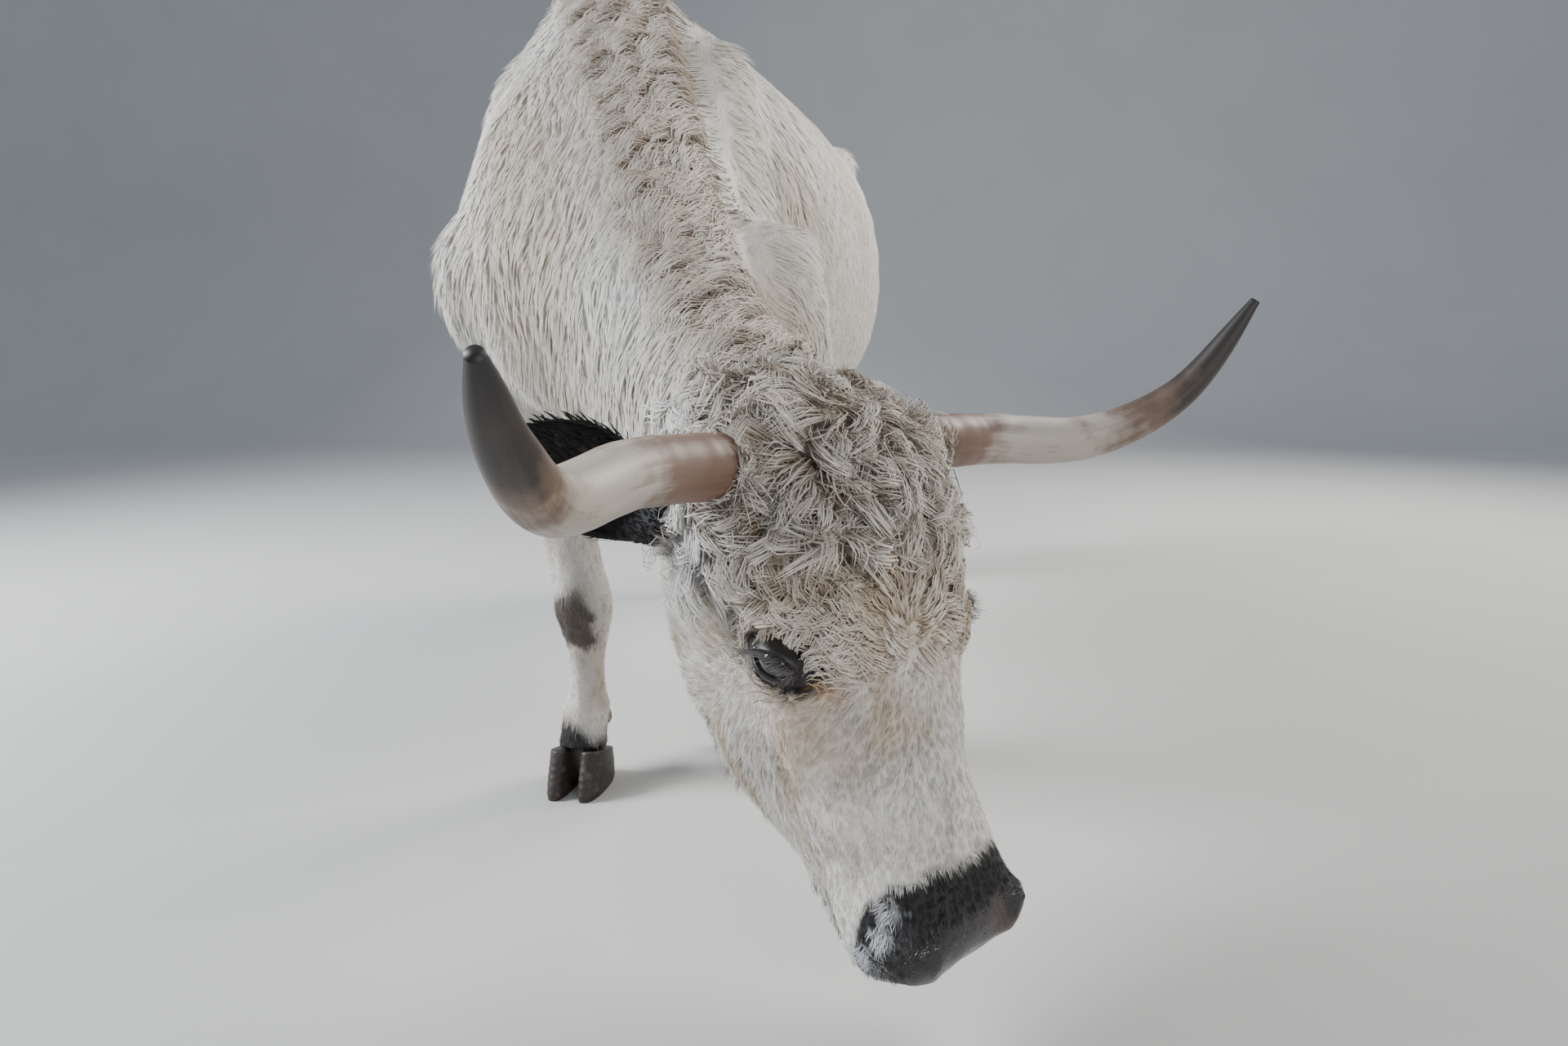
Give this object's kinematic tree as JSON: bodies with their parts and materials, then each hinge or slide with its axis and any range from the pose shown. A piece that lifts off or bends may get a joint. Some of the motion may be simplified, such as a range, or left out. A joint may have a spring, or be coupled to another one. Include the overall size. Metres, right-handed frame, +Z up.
{
  "type": "white park cattle",
  "caption": "Life-size still model of a white park cow grazing with her head down, long upswept horns, black ears and muzzle, on four cloven feet.",
  "frame": {"origin": "middle of the bounding box on the floor under the feet", "axes": "+Z up; the animal faces -Y with her left side towards +X; her head is turned to her left"},
  "size_m": [1.1854, 2.5154, 1.2932],
  "materials": {
    "white_coat": "short creamy white hair, wavy on the neck and curled on the poll",
    "black_coat": "short black hair, longer on the ear rims",
    "horn": "satin horn, brownish at the root, pale in the middle, dark at the tip",
    "hoof": "dull dark horn",
    "udder_skin": "soft thin-haired skin, greyish pink",
    "eye": "wet, very dark brown"
  },
  "bodies": {
    "root": {"dewclaw_foreleg_left_inner": "hoof", "dewclaw_foreleg_left_outer": "hoof", "dewclaw_foreleg_right_inner": "hoof", "dewclaw_foreleg_right_outer": "hoof", "dewclaw_hindleg_left_inner": "hoof", "dewclaw_hindleg_left_outer": "hoof", "dewclaw_hindleg_right_inner": "hoof", "dewclaw_hindleg_right_outer": "hoof", "ear_left": "black_coat", "ear_right": "black_coat", "eye_left": "eye", "eye_right": "eye", "foreleg_left": "white_coat", "foreleg_right": "white_coat", "head": "white_coat", "hindleg_left": "white_coat", "hindleg_right": "white_coat", "hoof_foreleg_left_inner": "hoof", "hoof_foreleg_left_outer": "hoof", "hoof_foreleg_right_inner": "hoof", "hoof_foreleg_right_outer": "hoof", "hoof_hindleg_left_inner": "hoof", "hoof_hindleg_left_outer": "hoof", "hoof_hindleg_right_inner": "hoof", "hoof_hindleg_right_outer": "hoof", "horn_left": "horn", "horn_right": "horn", "neck": "white_coat", "tail": "white_coat", "tail_switch": "white_coat", "torso": "white_coat", "udder": "udder_skin"}
  },
  "joints": []
}
